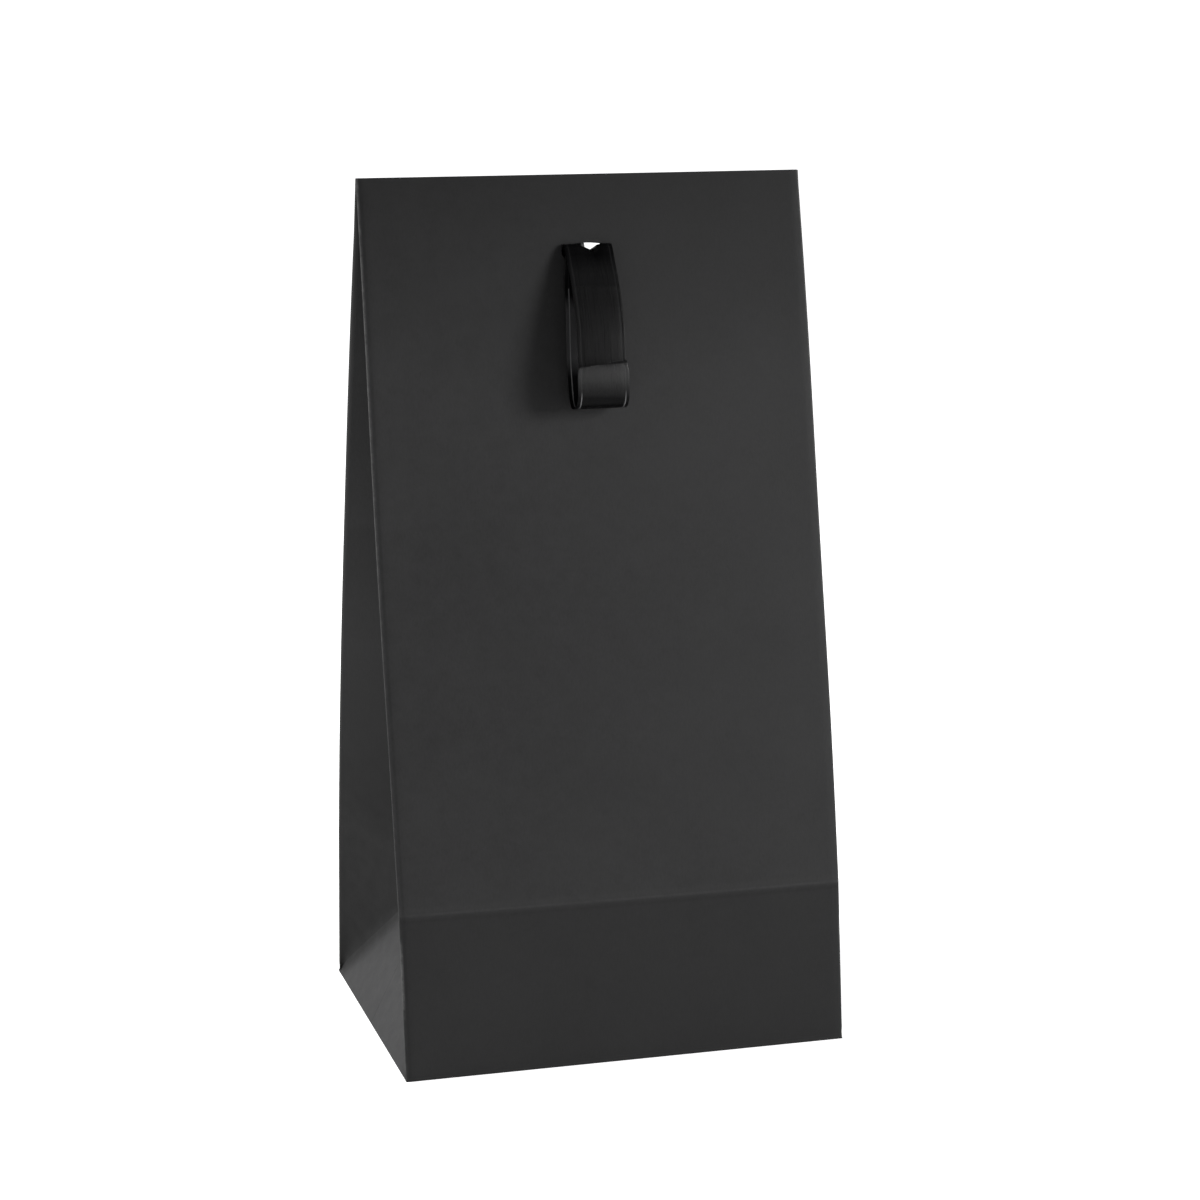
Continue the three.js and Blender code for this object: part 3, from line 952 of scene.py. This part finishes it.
def satin_material(name, dulling, edge_light=0.1, painted_light_stretch=None):
    """Black satin ribbon: a fine diagonal weave, lengthwise sheen and firmer woven edges. Each entry
    of dulling (from, to, share) lowers the sheen beyond a length along the strip; over part of a strip
    this is painted shade. The last argument (start, full, from, to) is a paler stretch of painted
    light. Lengths are in metres. The woven edges get a painted highlight, strongest where the sheen is
    dulled."""
    n = Nodes(name)
    space, flat, u, v = n.places()
    twill_pitch = 2 * math.pi / 0.00055
    rib_pitch = 2 * math.pi / 0.00032
    twill_a = n.math("SINE", n.times(n.plus(u, v), twill_pitch))
    twill_b = n.math("SINE", n.times(n.math("SUBTRACT", u, v), twill_pitch))
    weave = n.times(twill_a, twill_b)
    ribs = n.math("SINE", n.times(v, rib_pitch))
    cloud = n.noise(space, 160.0, 3.0, 0.5)
    streak_at = n.add("ShaderNodeMapping", {"Vector": flat, "Scale": (2600.0, 60.0, 1.0)}).outputs[0]
    streak = n.noise(streak_at, 1.0, 3.0, 0.6)

    tone = n.plus(n.times(weave, 0.16), n.times(cloud, 0.5))
    tone = n.plus(tone, n.times(streak, 0.4))
    colour = n.mix(n.ramp(tone, 0.1, 0.9), SATIN_DARK, SATIN_LIGHT)
    # Each entry lowers the sheen beyond a length along the strip; where it does so over part of a strip,
    # it is painted shade.
    shine = 1.0
    for start, end, share in dulling:
        shine = n.times(n.ramp(v, start, end, 1.0, share), shine)
    # Painted light: a paler stretch along the strip.
    if painted_light_stretch:
        start, full, fade, end = painted_light_stretch
        pale = n.times(n.ramp(v, start, full), n.ramp(v, end, fade, 0.0, 0.8))
        colour = n.mix(pale, colour, SATIN_PAINTED_LIGHT)
    # A painted highlight along each woven edge, strongest where the sheen is dulled.
    woven_edge = n.line(n.math("ABSOLUTE", u), 0.00645, 0.00022)
    lit = n.times(woven_edge, n.ramp(shine, 0.12, 0.40, edge_light, 0.05))
    colour = n.mix(lit, colour, SATIN_EDGE_HIGHLIGHT)

    n.put(colour, n.shader.inputs["Base Color"])
    rough = n.ramp(n.plus(n.times(weave, 0.2), streak), 0.2, 0.9, 0.26, 0.36)
    n.put(rough, n.shader.inputs["Roughness"])
    n.put(n.times(shine, 0.36), n.shader.inputs["Specular IOR Level"])
    relief = n.plus(n.times(weave, 0.5), n.times(ribs, 0.25))
    n.bump(n.plus(relief, n.times(streak, 0.5)), 0.30, 0.00006)
    return n.material


def face_material():
    """The panels: faint lines worn pale along the crease above a dark line of painted shade, another
    line of painted shade beside the left fold, both folds worn, and painted shade that makes the area
    below the crease and the top darker than the rest."""
    crease = CREASE_AT * MM
    lines = [
        ("v", crease + 0.00045, 0.00042, 0.02),
        ("v", crease + 0.00130, 0.00160, 0.010),
        # painted shade: a dark line under the crease, and one beside the left fold
        ("v", crease - 0.00090, 0.00110, -0.26),
        ("u", -0.06385, 0.00050, -0.30),
    ]
    # painted shade: darker below the crease and towards the top
    shade_bands = [(crease + 0.0006, crease - 0.0012, 0.69), (0.195, PANEL_LENGTH * MM, 0.56)]
    return paper_material("black_kraft_face", (0.0150, 0.0150, 0.0152), lines, True, shade_bands)


def build_materials():
    # painted shade on the sides: a little darker below 147 mm, and more and more below 110 mm, down over
    # the lower facets
    side_shade_bands = [(0.149, 0.146, 0.86), (0.110, 0.058, 0.34)]
    # painted shade: a dark line down the middle crease of each triangle
    centre_line = [("u", 0.0, 0.00045, -0.45)]
    # painted shade along the triangles' diagonal creases
    diagonal_shade = (HALF_DEPTH * MM, APEX_Z * MM, 0.0095)
    plain = (-0.002, -0.001, 0.72)
    # painted shade on the sheen: low along the back strand and the curl's underside, and lower on the
    # front strand above the curl
    loop_dulling = [(0.0490, 0.0425, 0.12), (0.0512, 0.0522, 0.72)]
    # painted light on the loop's back strand, below the slot
    loop_painted_light = (0.002, 0.006, 0.020, 0.025)
    # painted shade on the sheen towards the slot
    neck_dulling = [plain, (0.0040, 0.0100, 0.15)]
    return {
        "face": face_material(),
        # The sides and the triangles are the same black kraft as the panels, given paler colours as
        # painted light, the triangles' palest.
        "side": paper_material("black_kraft_side", (0.0212, 0.0212, 0.0214), shade_bands=side_shade_bands),
        "triangle": paper_material(
            "black_kraft_triangle", (0.0300, 0.0300, 0.0303), centre_line, diagonal_shade=diagonal_shade,
        ),
        "inner": paper_material("black_kraft_inner", (0.0140, 0.0140, 0.0142)),
        "satin": satin_material("black_satin", [plain]),
        "satin_loop": satin_material("black_satin_loop", loop_dulling, 0.7, loop_painted_light),
        "satin_neck": satin_material("black_satin_neck", neck_dulling, 0.05),
    }


# ---------------------------------------------------------------- camera, floor and light

# In metres, as in Blender.
CAMERA_PLACE = (-0.234, -0.848, 0.3145)
CAMERA_TARGET = (0.0055, 0.0, 0.1243)
LENS = 92.0
FLOOR_REACH = 60.0
FLOOR_GLOW = (0.72, 1.02)      # at the bag, and further out
GLOW_GROWS = (0.4, 1.6)        # from and to this distance
HORIZON = (0.11, 0.19)         # the directions' Z between which the white fades to dim
HORIZON_STRENGTH = 1.05
OVERHEAD_STRENGTH = 0.11
KEY_POWER = 80
LEFT_POWER = 25


def look(obj, target):
    obj.rotation_euler = (Vector(target) - obj.location).to_track_quat("-Z", "Y").to_euler()


def add_camera():
    data = bpy.data.cameras.new("camera")
    data.lens = LENS
    data.sensor_width = 36.0
    camera = bpy.data.objects.new("camera", data)
    camera.location = CAMERA_PLACE
    look(camera, CAMERA_TARGET)
    bpy.context.scene.collection.objects.link(camera)
    bpy.context.scene.camera = camera


def add_area(name, place, target, size, power):
    data = bpy.data.lights.new(name, "AREA")
    data.shape = "RECTANGLE"
    data.size, data.size_y = size
    data.energy = power
    light = bpy.data.objects.new(name, data)
    light.location = place
    look(light, target)
    bpy.context.scene.collection.objects.link(light)


def add_world():
    """White round the horizon, like the floor, and dim overhead."""
    world = bpy.data.worlds.new("studio")
    world.use_nodes = True
    tree = world.node_tree
    background = tree.nodes["Background"]
    background.inputs["Color"].default_value = (1, 1, 1, 1)
    where = tree.nodes.new("ShaderNodeTexCoord")
    split = tree.nodes.new("ShaderNodeSeparateXYZ")
    fade = tree.nodes.new("ShaderNodeMapRange")
    fade.inputs["From Min"].default_value = HORIZON[0]
    fade.inputs["From Max"].default_value = HORIZON[1]
    fade.inputs["To Min"].default_value = HORIZON_STRENGTH
    fade.inputs["To Max"].default_value = OVERHEAD_STRENGTH
    tree.links.new(where.outputs["Generated"], split.inputs[0])
    tree.links.new(split.outputs["Z"], fade.inputs["Value"])
    tree.links.new(fade.outputs["Result"], background.inputs["Strength"])
    bpy.context.scene.world = world


def add_floor():
    """A wide pale floor, which glows so that it stays white round the bag's soft shadow."""
    mesh = bpy.data.meshes.new("floor")
    corners = [(x * FLOOR_REACH, y * FLOOR_REACH, 0) for x, y in ((-1, -1), (1, -1), (1, 1), (-1, 1))]
    mesh.from_pydata(corners, [], [(0, 1, 2, 3)])
    n = Nodes("pale_floor")
    n.shader.inputs["Base Color"].default_value = (0.8, 0.8, 0.8, 1)
    n.shader.inputs["Roughness"].default_value = 0.9
    n.shader.inputs["Emission Color"].default_value = (1, 1, 1, 1)
    where = n.add("ShaderNodeTexCoord").outputs["Object"]
    away = n.add("ShaderNodeVectorMath", {"Vector": where}, operation="LENGTH").outputs["Value"]
    n.put(n.ramp(away, *GLOW_GROWS, *FLOOR_GLOW), n.shader.inputs["Emission Strength"])
    mesh.materials.append(n.material)
    floor = bpy.data.objects.new("floor", mesh)
    bpy.context.scene.collection.objects.link(floor)


def add_stage():
    add_floor()
    add_world()
    add_area("key", (1.85, -1.45, 0.80), (0, 0, 0.12), (0.7, 0.9), KEY_POWER)
    add_area("left", (-1.05, 0.50, 0.9), (0, 0, 0.1), (0.8, 0.8), LEFT_POWER)
    bpy.context.scene.view_settings.view_transform = "Standard"


add_camera()
add_stage()
materials = build_materials()
build_paper(materials)
build_ribbon(materials)
